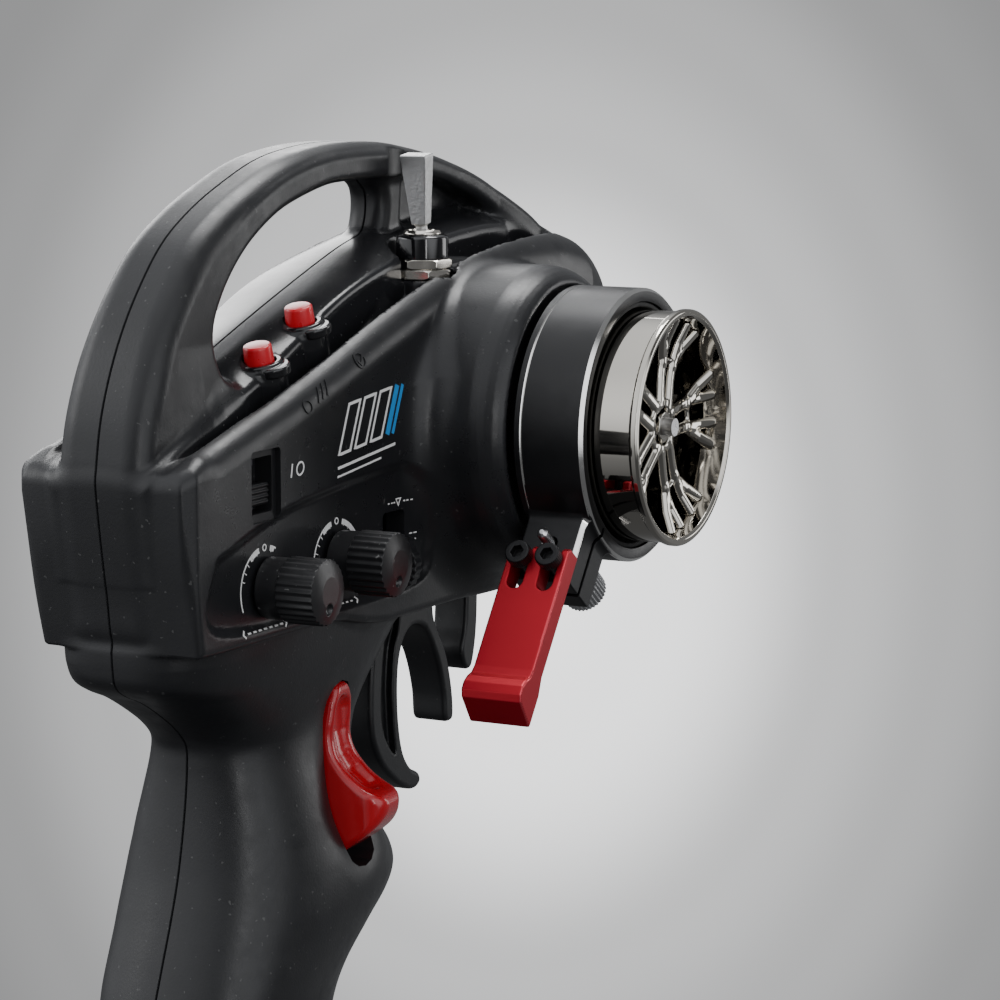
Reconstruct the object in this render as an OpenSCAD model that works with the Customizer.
// Pistol-grip radio transmitter controller for surface models.
// +X is the wheel side, +Y is forward, +Z is up; the origin is the centre
// of the base's underside.

/* [Overall] */
// Height of the steering axis above the underside of the base
wheel_z = 172; // [165:1:180]
// Distance of the steering axis ahead of the base centre
wheel_y = 72; // [66:1:78]
// Wall of the moulded shells
wall = 2.4; // [2:0.1:3]

/* [Steering wheel] */
// Outside diameter of the rim
rim_d = 52; // [48:1:56]
// Width of the rim
rim_w = 26; // [24:1:28]
// Front face of the rim, from the centre plane
rim_x = 72; // [70:1:74]
// Outside diameter of the clamp ring
clamp_d = 60.5; // [58:0.5:64]
// Angle of the clamp ears from straight down
ear_a = 37; // [30:1:45]
// Number of spoke pairs
spoke_n = 5; // [4:1:6]

/* [Controls] */
// Diameter of the panel knobs
knob_d = 13.5; // [12:0.5:15]
// Height of the panel knobs
knob_h = 13; // [11:0.5:15]
// Diameter of the push button caps
cap_d = 6.2; // [6:0.1:6.3]
// Width of the throttle trigger blade
blade_w = 12; // [10:0.5:14]

/* [Hidden] */
$fn = 64;

// colours used by several pieces
plastic = [0.07,0.07,0.08];
trigger_black = [0.05,0.05,0.055];
collar_black = [0.04,0.04,0.045];
knob_black = [0.05,0.05,0.05];
slider_black = [0.03,0.03,0.03];
button_red = [0.75,0.03,0.05];
switch_grey = [0.3,0.3,0.32];
pot_grey = [0.35,0.35,0.37];
pot_blue = [0.2,0.25,0.5];
steel = [0.75,0.75,0.77];
spring_steel = [0.7,0.7,0.72];

// places
seam = 0.05;                     // each half stops this far from the centre plane
screw_yz = [[-36,160],[-30,140],[110,150],[118,190],[-2,60]];
trigger_axis = [0,74,146];
trim_at = [0,-20.5,147.1];
function_at = [0,5.6,148.9];
menu_at = [10.4,-5.4,190.6];
set_at = [10.4,11.2,197.3];
toggle_at = [14.5,57,0];
led_at = [-10.5,-33,0];
rocker_a = 4;                    // direction the rocker faces
lever_screw_x = [49.5,56.5];
base_core = [50,74];             // base plan before its corners are rounded
cell_pitch = 15.6;
rim_r = rim_d/2;
rim_back = rim_x-rim_w;

// ---- Helpers ----
// outline drawn as (Y, Z), extruded along X
module slab_x(from,to) {
  translate([from,0,0]) rotate([90,0,90]) linear_extrude(to-from) children();
}
// outline drawn as (X, Y), extruded along Z
module slab_z(from,to) { translate([0,0,from]) linear_extrude(to-from) children(); }
module rod_x(from,to,r) { translate([from,0,0]) rotate([0,90,0]) cylinder(r=r,h=to-from); }
module rod_z(from,to,r) { translate([0,0,from]) cylinder(r=r,h=to-from); }
module block(corner,size) { translate(corner) cube(size); }
module torus(r,wire_r) { rotate_extrude() translate([r,0]) circle(r=wire_r); }
module at_steering() { translate([0,wheel_y,wheel_z]) children(); }
// steering axis, with -Z pointing along the clamp ears
module at_clamp() { at_steering() rotate([-ear_a,0,0]) children(); }
// local +X points outwards
module at_rocker() { translate([0,14,0]) rotate([0,0,rocker_a]) children(); }
module at_button(place) { translate(place) rotate([15,0,0]) children(); }
module at_buttons() { for (place=[menu_at,set_at]) at_button(place) children(); }
module at_screws() { for (p=screw_yz) translate([0,p[0],p[1]]) children(); }
module at_feet() { for (x=[-30,30], y=[-41,41]) translate([x,y,0]) children(); }

// ---- Head and handle ----
// side outlines, drawn as (Y, Z)
// outer part of the head
crest = [
  [-45.2,136.4],[0,136.4],[9,135.4],[17,133.6],[25,132.6],[45,132.7],[108,133],[122,139],
  [130,152],[132,170],[131,186],[126,198],[119,205.6],[112,209.8],[104,211.7],[94,211.7],
  [82,210.6],[70,209.1],[57.7,206.4],[45,203],[37,200.7],[22.7,196],[7.2,190.4],[-3.3,187],
  [-13.6,183.7],[-24,180.9],[-38,176.8],[-46,174.2],[-50,170]];
// middle part of the head
deck = [
  [-45.2,136.4],[0,136.4],[9,135.4],[17,133.6],[25,132.6],[45,132.7],[108,133],[122,139],
  [130,152],[132,170],[131,186],[126,198],[119,206],[112,210.9],[103,212.9],[90,213.2],
  [69,211.6],[57,209.6],[44,207.4],[34,205.2],[24.5,202.3],[15,198.5],[-1,191.2],
  [-15,185.4],[-30,180],[-46,173.9],[-50,170]];
// open side of the groove between deck and crest
groove = [
  [-60,240],[-60,173.4],[-43,174],[-38,174.6],[-10,177.6],[10,182.2],[37,191.6],
  [57.7,197.3],[82,201.6],[104,202.7],[112,205],[119,206.4],[123,240]];
// handle loop above the head, and the opening through it
arch = [
  [-50,170],[-49.4,178],[-46.6,187.5],[-41.4,197.8],[-34.6,207],[-25.5,216],[-14.5,222.4],
  [-2.1,227.4],[10.7,231.4],[23.8,233.4],[37.3,234.2],[54,233.8],[68,232],[83,228.8],
  [94,225.4],[102,222],[109,218.4],[115.4,214],[121.5,207.4],[126,198],[104,190],[60,190],
  [30,188],[-10,180],[-40,168]];
hole = [
  [-16.5,188.4],[-20.4,190.6],[-22,195.4],[-20.8,201],[-15.6,208],[-7.5,214.4],[3,219.6],
  [12.4,222.6],[25.5,225.2],[35,225.8],[45,226],[53,224.8],[56.8,222.2],[57.5,218.6],
  [55.5,215.2],[51,212.6],[38,208.9],[15,201.3],[4,197.3],[-8,192.8],[-13,190.2]];
// thinner panel ahead of the opening
web = [
  [62,203],[60,210],[58,217],[60,222],[66,224.4],[76,222.8],[88,219.6],[98,215.4],
  [105,210.4],[109,205.4],[100,204.6],[80,203]];
// region under the thicker band of the arch
below_band = [
  [-20,150],[-20,189],[-11,186.4],[4.5,192.2],[20,196.8],[31,198.2],[56,200.4],
  [110,204.6],[150,204],[150,150]];
// plans, drawn as (X, Y): right half of the head, and the groove
head_plan = [
  [-60,-50],[11,-49.9],[18.4,-48.7],[20.5,-46],[22.6,5],[26.4,72],[28.4,100],[30,114],
  [28.6,124],[23,130],[14,132.4],[-60,132.6]];
groove_plan = [
  [-30,-60],[14.3,-60],[15.2,-43],[17.5,5],[20.4,60],[22.2,85],[22.4,104],[20.5,113],
  [17,120],[-30,120]];

// inset is 0 for the outside, wall for the inside
module head_solid(inset) {
  intersection() {
    slab_x(-1,13.4-inset) offset(delta=-inset) polygon(deck);
    slab_z(120,240) offset(delta=-inset) polygon(head_plan);
  }
  difference() {
    intersection() {
      slab_x(6,40) offset(delta=-inset) polygon(crest);
      slab_z(120,240) offset(delta=-inset) polygon(head_plan);
    }
    intersection() {
      slab_x(5,40) offset(delta=inset) polygon(groove);
      slab_z(120,241) offset(delta=inset) polygon(groove_plan);
    }
  }
}
module handle_loop() difference() { polygon(arch); polygon(hole); }
module arch_band() difference() {
  handle_loop();
  polygon(web);
  polygon(below_band);
  translate([30,190]) square([28,18]);
}

// ---- Grip ----
// side outline, drawn as (Y, Z)
grip = [
  [-46.2,139],[-45.8,133],[-44.8,129],[-41.4,126.6],[-35.4,124],[-28.6,120],[-23,116],
  [-19.6,112],[-19.1,107],[-19.9,100],[-21.4,92],[-23.4,84],[-26.2,76],[-29.4,68],
  [-32.6,60],[-35.6,52],[-39,44],[-43,34],[23,34],[22.8,46],[24.2,53],[28.6,60],[37.5,67],
  [44.2,72],[46.8,76.5],[44.8,81],[40,86],[34.4,92],[31.6,100],[32.4,107],[35,112],
  [38.3,116],[41.6,120],[45.2,124],[49,128],[52,134],[53,139]];
// half width at each height, as (X, Z)
grip_half_w = [
  [20.9,34],[20.6,46],[21.8,60],[23.7,76],[23.1,84],[21.4,92],[19.3,100],[17.6,107],
  [16.9,112],[16.9,116],[17.6,120],[18.6,125],[19.4,131],[19.5,139]];

// rounded plan section of the right half
module grip_section(side,back,front,round_r,inset) {
  offset(r=round_r) polygon([
    [-40,back+inset],[side-inset,back+inset],[side-inset,front-inset],[-40,front-inset]]);
}
module grip_solid(inset) intersection() {
  slab_x(-1,30) offset(delta=-inset) polygon(grip);
  translate([0,60,0]) rotate([90,0,0]) linear_extrude(120)
    polygon(concat([[-40,34]],[for (p=grip_half_w) [p.x-inset,p.y]],[[-40,139]]));
  union() {
    intersection() {
      slab_z(33,58) square([200,200],center=true);
      translate([0,-10,34]) rotate([-17,0,0])
        slab_z(-30,70) grip_section(9.4,-19.6,19.6,12,inset);
    }
    intersection() {
      slab_z(57.9,120) square([200,200],center=true);
      translate([0,-5,34]) rotate([-18,0,0])
        slab_z(-10,77) grip_section(11.8,-24.6,24.9,12,inset);
    }
    slab_z(104,140) grip_section(11.6,-38.2,45,8,inset);
  }
}

// ---- Housing, built on the +X side ----
module half_solid(inset) {
  head_solid(inset);
  grip_solid(inset);
}
module half_outer() {
  half_solid(0);
  slab_x(-1,9.5) arch_band();
  slab_x(-1,7.4) handle_loop();
}
module half_inner() {
  head_solid(wall);
  intersection() {
    grip_solid(wall);
    block([-5,-70,36.4],[60,140,97]);
  }
  block([-5,-16,128],[11,40,14]);
  slab_x(-1,6.6) difference() {
    offset(delta=-2.6) handle_loop();
    translate([40,190]) square([80,36]);
    translate([-60,150]) square([220,38]);
  }
}
module half_shell() difference() {
  half_outer();
  half_inner();
  block([-50,-100,0],[50+seam,300,300]);
}
module shared_bosses() {
  at_screws() rod_x(seam,40,3.4);
  translate(trigger_axis) rod_x(8.6,40,4);
}
// openings in both halves
module shared_cuts() {
  block([-8.4,37.5,114],[16.8,52.5,26]);      // trigger opening
  block([-4.8,97.6,120],[9.6,5.8,20]);        // finger guard seat
  block([-50,-60,30],[120,120,4.02]);         // grip meets the base
}
module wheel_pod() difference() {
  at_steering() {
    rod_x(18,30,38);
    rod_x(29,33,36.6);
    rod_x(32,43,35);
  }
  at_steering() {
    rod_x(17,28,35.6);
    rod_x(27,40.6,32.6);
  }
  slab_z(100,250) polygon([[0,0],[20,0],[24,72],[24,140],[0,140]]);
}
// disc and collar at the root of the pod, cleared around the toggle body
module pod_root() difference() {
  at_steering() {
    rod_x(17.2,19.98,34.5);
    difference() {
      rod_x(17.2,26.5,34.5);
      rod_x(17,27,32.6);
    }
  }
  block([8,50.4,170],[13,13.2,31]);
}

module housing_right() color(plastic) difference() {
  union() {
    half_shell();
    intersection() {
      union() {
        shared_bosses();
        at_steering() rod_x(4,40,8);
        at_rocker() for (s=[-1,1]) block([5,s*8.2-1.6,112],[9,3.2,8]);
      }
      union() {
        half_solid(0.4);
        at_steering() rod_x(10,40,20);
      }
    }
    wheel_pod();
    at_steering() rod_x(16,43,8);
    pod_root();
    translate(toggle_at) rod_z(195.2,203.5,7.2);
    at_buttons() rod_z(-10.6,0,5.2);
  }
  // pod opening into the head, shaft bore
  at_steering() difference() {
    rod_x(20,30,32.6);
    rod_x(19,31,8);
  }
  at_steering() rod_x(-1,44,6);
  at_screws() rod_x(-1,17,1.3);
  translate(trigger_axis) rod_x(6,20,2.05);
  shared_cuts();
  // switch and knob openings
  block([15,-26.5,161],[12,9,13]);
  block([17,24.4,143],[12,8.4,13]);
  for (place=[trim_at,function_at]) translate(place) rod_x(10,30,3.4);
  // push button wells and toggle bore
  at_buttons() {
    rod_z(-6,10.7,3.7);
    block([-8,-2.85,-11],[10.85,5.7,5.8]);
    rod_z(0.42,12.42,4.8);
  }
  translate(toggle_at) {
    rod_z(186,210,3.3);
    rod_z(203.52,233.52,7.4);
  }
  // rocker opening
  at_rocker() block([7,-6.5,81.5],[30,13,39.5]);
  rocker_pivot(1.55,24);
}
module housing_left() color(plastic) difference() {
  mirror([1,0,0]) {
    half_shell();
    intersection() {
      shared_bosses();
      half_solid(0.4);
    }
  }
  at_screws() {
    rod_x(-50,1,1.65);
    rod_x(-50,-15,3.05);
  }
  translate(trigger_axis) rod_x(-20,-6,2.05);
  shared_cuts();
  translate(led_at) rod_z(166,186,1.6);
}
module housing_screws() color([0.2,0.2,0.21]) at_screws() difference() {
  union() {
    rod_x(-15.1,12,1.25);
    rod_x(-17,-15.03,2.9);
  }
  rod_x(-17.5,-15.8,1.1);
}

// ---- Base and battery ----
module rounded_slab(from,to,core,r) { slab_z(from,to) offset(r=r) square(core,center=true); }
module base_shell() color(plastic) difference() {
  union() {
    rounded_slab(3,26,base_core,14);
    rounded_slab(25.9,30,[48,70],13);
    rounded_slab(29.9,33.98,[46,66],11);
  }
  rounded_slab(0,26,base_core,11.5);
  rounded_slab(25,30.6,[46,66],10);
  translate([0,-2,0]) rod_z(28,38,6);
}
module base_plate() color(plastic) difference() {
  rounded_slab(0,2.98,base_core,14);
  block([-32.1,-31,-1],[64.2,62,5]);
  at_feet() rod_z(-1,1,4.05);
}
module battery_door() color([0.09,0.09,0.1]) difference() {
  block([-32,-30.9,0],[64,61.8,2.6]);
  for (i=[-3:3]) block([-9,22+i*1.6,-0.5],[18,0.7,1]);
}
function cell_at(i) = [cell_pitch*(i-1.5),0,11.2];
// neighbouring cells point opposite ways
module battery_cells() color([0.16,0.3,0.22]) for (i=[0:3])
  translate(cell_at(i)) rotate([90,0,0]) {
    tip = i%2==0 ? 24.5 : -25.6;
    rod_z(-24.6,24.6,7.1);
    rod_z(tip,tip+1.1,2.7);
  }
module battery_springs() color(steel) for (i=[0:3]) translate(cell_at(i)) {
  for (s=[-1,1]) block([-5,s*27.2-0.3,-5],[10,0.6,10]);
  for (k=[0:2]) translate([0,(i%2==0 ? 1 : -1)*(25+k*0.75),0])
    rotate([90,0,0]) torus(3.2-k*0.1,0.34);
}
module base_pads() color([0.03,0.03,0.03]) at_feet() rod_z(0,0.98,4);

// ---- Electronics ----
module main_pcb() color([0.05,0.28,0.14]) {
  difference() {
    block([-6.4,-34,142],[1.6,76,33]);
    at_screws() rod_x(-10,0,3.8);
    block([-10,-35,141],[10,4.6,2.6]);
  }
  block([-4.9,-10,150],[1.3,12,12]);
  block([-4.9,12,160],[1.7,6,9]);
  block([-4.9,-28,163],[3,6,6]);
  block([-9,20,146],[2.7,8,5]);
}
module radio_module() color([0.7,0.7,0.72]) block([-9.4,-12,154],[2.9,20,14]);
module antenna() color([0.82,0.6,0.25]) {
  translate([-9.6,-24,0]) rod_z(165,177,0.9);
  block([-10.8,-25.2,163],[2.4,2.4,2.5]);
}
module status_led() color([0.1,0.55,0.2]) translate(led_at) {
  rod_z(171.4,172.3,2.2);
  rod_z(172.2,179.2,1.45);
}
module power_switch() color(switch_grey) {
  block([10.4,-27.4,160],[5.6,11,13]);
  for (z=[162.5,171.6]) block([16,-24.5,z],[1,5,1.2]);
}
module power_slider() color(slider_black) {
  block([18,-25.7,163.9],[3.4,7.4,3.2]);
  block([16.4,-24.2,164.4],[2,4.4,2]);
  for (k=[0:2]) block([21.3,-25.7,164+k*1.1],[0.5,7.4,0.5]);
}
module neutral_switch() color(switch_grey) block([13.4,23.4,141.8],[5.2,10.4,15.4]);
module neutral_slider() color(slider_black) {
  block([19.6,25,144],[4.4,7.2,6]);
  block([18.62,26,145],[1.2,5,4]);
  for (k=[0:3]) block([23.9,25,144.3+k*1.5],[1,7.2,0.7]);
}

// ---- Push buttons ----
module push_button(place) at_button(place) {
  rod_z(0,8.4,cap_d/2-0.3);
  rod_z(-4,0.1,2.3);
  rod_z(2.9,8.6,cap_d/2);
  rod_z(-4.6,-3.7,3.3);
}
module menu_button() color(button_red) push_button(menu_at);
module set_button() color(button_red) push_button(set_at);
module button_collars() color(collar_black) at_buttons() difference() {
  union() {
    rod_z(-1.5,0.5,3.65);
    rod_z(0.45,1.55,4.7);
    translate([2,0,0]) rod_z(0.45,1.35,3.2);
  }
  rod_z(-6,6,3.2);
}
module tact_switches() color([0.25,0.25,0.27]) at_buttons() {
  block([-2.7,-2.7,-9.8],[5.4,5.4,3]);
  rod_z(-6.9,-5.9,1.6);
}

// ---- Toggle switch ----
module toggle_body() color([0.55,0.1,0.08]) {
  block([9,51,180.5],[11,12,11.9]);
  for (k=[-1,0,1]) block([13.9,57+k*4-0.6,175.5],[1.2,1.2,5.1]);
}
module toggle_bushing() color([0.8,0.78,0.72]) translate(toggle_at) difference() {
  union() {
    rod_z(192.6,213.4,3.2);
    rod_z(213.3,214.5,4.1);
  }
  rod_z(207.5,219.5,2.5);
  rod_z(213.9,219.9,3.4);
  rod_z(191,211,1.4);
}
module toggle_nuts() color([0.8,0.8,0.8]) translate(toggle_at)
  for (z=[203.6,205.9]) difference() {
    rod_z(z,z+2.2,6.5,$fn=6);
    rod_z(z-1,z+4,3.25);
  }
module toggle_sleeve() color([0.02,0.02,0.02]) translate([14.5,57,208.2]) difference() {
  union() {
    rod_z(0,2.4,5.9);
    rod_z(2.3,5.4,5.8);
  }
  rod_z(-1,11,3.25);
  rod_z(4.6,7.6,4.5);
}
// the lever rests thrown to the rear
module toggle_lever() color([0.6,0.6,0.6]) translate([14.5,57,212.4]) rotate([8,0,0]) {
  rotate([90,0,90]) rod_z(-1.5,1.5,1.6);
  rod_z(1.2,4.6,1.3);
  translate([0,1.9,0]) rotate([90,0,0]) linear_extrude(3.8)
    polygon([[-1.6,3.6],[1.6,3.6],[3.2,18.2],[3,19],[-3,19],[-3.2,18.2]]);
}

// ---- Panel knobs ----
module pot(place) translate(place) difference() {
  union() {
    block([9,-5.5,-5.5],[6.4,11,11]);
    rod_x(15.3,17.6,3.3);
  }
  rod_x(8,20,1.56);
}
// ribbed knob from the panel face outwards, with its shaft
module knob(place,face_x) translate(place) {
  top_x = face_x+knob_h;
  difference() {
    union() {
      rod_x(face_x,top_x-1,knob_d/2-0.3);
      rod_x(face_x,face_x+2,knob_d/2);
      rod_x(top_x-1.1,top_x,knob_d/2-1);
      for (a=[0:15:345]) rotate([a,0,0])
        block([face_x+2,-0.4,knob_d/2-1],[knob_h-3.2,0.8,1.05]);
    }
    translate([0,0,3.9]) rod_x(top_x-0.7,top_x+1,0.9);
  }
  rod_x(10,face_x+1,1.5);
}
module trim_pot() color(pot_grey) pot(trim_at);
module trim_knob() color(knob_black) knob(trim_at,22.4);
module function_pot() color(pot_grey) pot(function_at);
module function_knob() color(knob_black) knob(function_at,23.6);

// ---- Throttle trigger: pull blade behind, push hook ahead ----
// outlines drawn as (Y, Z)
trigger_side = [
  [66,150],[60,146],[56,138],[52,130],[49.5,120],[48.4,110],[49,101],[53,94],[58.6,89],
  [65,85.4],[70,84.6],[72,86],[70.8,87.8],[66.4,90.2],[63,95],[61.4,102],[61.4,110],
  [62.4,117],[65,121],[69,122.6],[74,121.6],[79.6,117],[83.6,111],[86,103.6],[87,97.4],
  [90.6,97.2],[89.8,105],[87,112.6],[82.6,119.4],[79.4,124],[79,132],[80.6,140],[80,147],
  [76,151.4],[70,152]];
blade_recess = [
  [57,128],[54,120],[52.6,110],[53.2,102.6],[56,97.4],[60,94],[58,100],[57.6,110],[59,119],
  [62,126],[62,132]];
// regions where the hook is narrowed from both sides
hook_front = [[82,80],[82,113.4],[80,124],[90,124],[100,90]];
hook_back = [[73.4,122],[80,122],[82.1,113],[82.1,104],[75,112]];

module trigger() color(trigger_black) difference() {
  slab_x(-blade_w/2,blade_w/2) polygon(trigger_side);
  translate(trigger_axis) rod_x(-20,20,2.05);
  for (x=[-blade_w/2-1,blade_w/2-2.2]) slab_x(x,x+3.2) polygon(blade_recess);
  for (x=[-10,4.6], region=[hook_front,hook_back]) slab_x(x,x+5.4) polygon(region);
}
module trigger_shaft() color(steel) translate(trigger_axis) rod_x(-19.8,19.8,1.99);
module trigger_spring() color(spring_steel) translate(trigger_axis)
  for (x=[6.5,7.3,8.1]) translate([x,0,0]) rotate([0,90,0]) torus(3.1,0.35);
module throttle_pot() color(pot_blue) translate(trigger_axis) difference() {
  union() {
    rod_x(-16.5,-9.2,6.6);
    block([-16.5,2,-2.5],[4,9,5]);
  }
  rod_x(-30,-8,4.05);
}
module finger_guard() color(trigger_black) slab_x(-4.5,4.5) polygon([
  [98,139],[97.8,126],[97.2,118],[95.6,112.4],[97.6,107],[100.2,108.6],[102.4,115],
  [103.2,124],[103.2,139]]);

// ---- Finger rocker on the grip ----
// outline drawn as (outward, Z)
rocker_side = [
  [7.3,119],[13,120],[17,119.6],[18,117.6],[17.4,108.6],[18.4,104.6],[20.6,101.6],
  [23.2,99.4],[26.2,97.6],[28.6,96.6],[29.6,94.8],[29.2,92.6],[27.4,90.2],[24.6,88.2],
  [21.6,86],[18,84],[13.6,82.6],[10,84],[8,92],[7.3,106]];

module rocker_pivot(r,length) {
  at_rocker() translate([9.5,length/2,116]) rotate([90,0,0]) cylinder(r=r,h=length);
}
module rocker() color([0.72,0.02,0.04]) difference() {
  at_rocker() rotate([90,0,0]) slab_z(-5.7,5.7) polygon(rocker_side);
  // finger scoop
  at_rocker() {
    translate([23.4,0,103.6]) sphere(r=4.5);
    translate([20.1,0,108]) sphere(r=4.1);
    translate([23.4,0,103.6]) rotate([0,-37,0]) cylinder(r1=4.45,r2=4.05,h=5.5);
  }
  rocker_pivot(1.55,20);
}
module rocker_pin() color(steel) rocker_pivot(1.5,16);
module rocker_switch() color([0.2,0.2,0.22]) at_rocker() {
  block([1,-3,88],[3.2,6,13]);
  block([4.1,-1.2,91],[1.1,2.4,3]);
}

// ---- Steering shaft and wheel ----
module steering_bush() color([0.75,0.6,0.3]) at_steering() difference() {
  union() {
    rod_x(24,42.95,5.95);
    rod_x(43.05,43.9,8);
  }
  rod_x(0,60,3.55);
}
module steering_pot() color(pot_blue) at_steering() difference() {
  union() {
    rod_x(-14,-5.5,8);
    block([-14,4,-3],[4,12,6]);
  }
  rod_x(-30,0,3.55);
}
module steering_spring() color(spring_steel) at_steering()
  for (k=[0:5]) translate([16+k*1.15,0,0]) rotate([0,90,0]) torus(4.6,0.5);
module steering_shaft() color([0.78,0.78,0.8]) at_steering() {
  rod_x(-12,57,3.5);
  rod_x(56.9,69.4,1.98);
}
module wheel_hub() color([0.15,0.15,0.16]) at_steering() difference() {
  union() {
    rod_x(46,51,8.5);
    rod_x(50.9,57,6.9,$fn=6);
  }
  rod_x(40,60,3.51);
}
module wheel_nut() color(steel) at_steering() difference() {
  union() {
    rod_x(64.05,64.9,4.4);
    rod_x(64.8,68.4,4,$fn=6);
  }
  rod_x(60,72,2);
}
// each spoke splits into two branches near the rim
module spoke_pair() for (s=[-1,1]) {
  block([59.5,s*2.4-1,6],[3.6,2,11]);
  translate([59.5,s*2.4,16.4]) {
    rotate([-s*24,0,0]) block([0,-0.9,-0.4],[3.4,1.8,9]);
    rotate([s*6,0,0]) block([0,-0.8,-0.4],[3.4,1.6,8.3]);
  }
}
module rim() color([0.22,0.22,0.24]) at_steering() difference() {
  union() {
    // section as (radius, X)
    rotate([0,90,0]) rotate_extrude($fn=96) polygon([
      [rim_r-1.9,rim_back],[rim_r,rim_back],[rim_r,rim_back+1.6],[rim_r-0.5,rim_back+2],
      [rim_r-0.5,rim_x-2],[rim_r,rim_x-1.6],[rim_r,rim_x-0.5],[rim_r-0.5,rim_x],
      [rim_r-1.5,rim_x],[rim_r-2,rim_x-0.8],[rim_r-2.1,rim_x-2],[rim_r-2.1,rim_back+2]]);
    rod_x(52,57.2,9.4);
    rod_x(57.1,64,8);
    for (k=[0:spoke_n-1]) rotate([k*360/spoke_n+18,0,0]) spoke_pair();
  }
  rod_x(50,70,2.05);
  rod_x(50.9,57.1,6.98,$fn=6);
}
module grip_ring() color([0.02,0.02,0.02]) at_steering() difference() {
  rod_x(45.4,60.6,27.2);
  rod_x(40,70,26.03);
}

// ---- Clamp ring and steering lever ----
module at_lever_screws() {
  at_clamp() for (x=lever_screw_x) translate([x,0,-43.2]) rotate([90,0,0]) children();
}
module at_thumb_screw() { at_clamp() translate([53,0,-35.5]) rotate([90,0,0]) children(); }
module clamp_ring() color(collar_black) difference() {
  union() {
    at_steering() difference() {
      rod_x(44.7,61.1,clamp_d/2);
      rod_x(40,70,27.25);
    }
    at_clamp() difference() {
      block([46.2,-9.3,-46],[13.6,12.8,20]);
      rod_x(40,70,28.5);
    }
  }
  at_clamp() block([40,-3.3,-60],[30,1,36]);      // split between the ears
  at_lever_screws() rod_z(0,30,1.55);
  at_thumb_screw() rod_z(-30,30,1.55);
}
module steer_lever() color([0.7,0.03,0.06]) difference() {
  at_clamp() slab_x(46,60) polygon([
    [-9.35,-40.6],[-13.6,-40.6],[-14.6,-41.6],[-14.4,-69.5],[-15,-71],[-16.1,-72.4],
    [-16.5,-74],[-16.1,-75.6],[-15,-76.6],[-8.4,-79],[-7,-78.8],[-6.2,-77.8],[-6.4,-75],
    [-8.2,-71.6],[-9.35,-67.5]]);
  // adjustment slots, round at the lower end
  at_clamp() for (x=lever_screw_x) {
    block([x-1.8,-30,-49.5],[3.6,30,12]);
    translate([x,0,-49.5]) rotate([90,0,0]) cylinder(r=1.8,h=30);
  }
}
module lever_screws() color([0.05,0.05,0.05]) at_lever_screws() difference() {
  union() {
    rod_z(3.8,15,1.5);
    rod_z(14.65,17.45,2.75);
  }
  rod_z(15.9,18.9,1.45,$fn=6);
}
module thumb_screw() color([0.78,0.77,0.74]) at_thumb_screw() {
  rod_z(-6,14,1.5);
  difference() {
    union() {
      rod_z(-13,-3.6,4.7);
      for (a=[0:12:348]) rotate([0,0,a]) block([4.2,-0.3,-12.6],[0.8,0.6,8.6]);
    }
    rod_z(-14,-11.5,1.6,$fn=6);
  }
}

housing_right();
housing_left();
housing_screws();
base_shell();
base_plate();
battery_door();
battery_cells();
battery_springs();
base_pads();
main_pcb();
radio_module();
antenna();
status_led();
power_switch();
power_slider();
menu_button();
set_button();
button_collars();
tact_switches();
toggle_body();
toggle_bushing();
toggle_nuts();
toggle_sleeve();
toggle_lever();
trim_pot();
trim_knob();
function_pot();
function_knob();
neutral_switch();
neutral_slider();
trigger();
trigger_shaft();
trigger_spring();
throttle_pot();
finger_guard();
rocker();
rocker_pin();
rocker_switch();
steering_bush();
steering_pot();
steering_spring();
steering_shaft();
wheel_hub();
wheel_nut();
rim();
grip_ring();
clamp_ring();
steer_lever();
lever_screws();
thumb_screw();
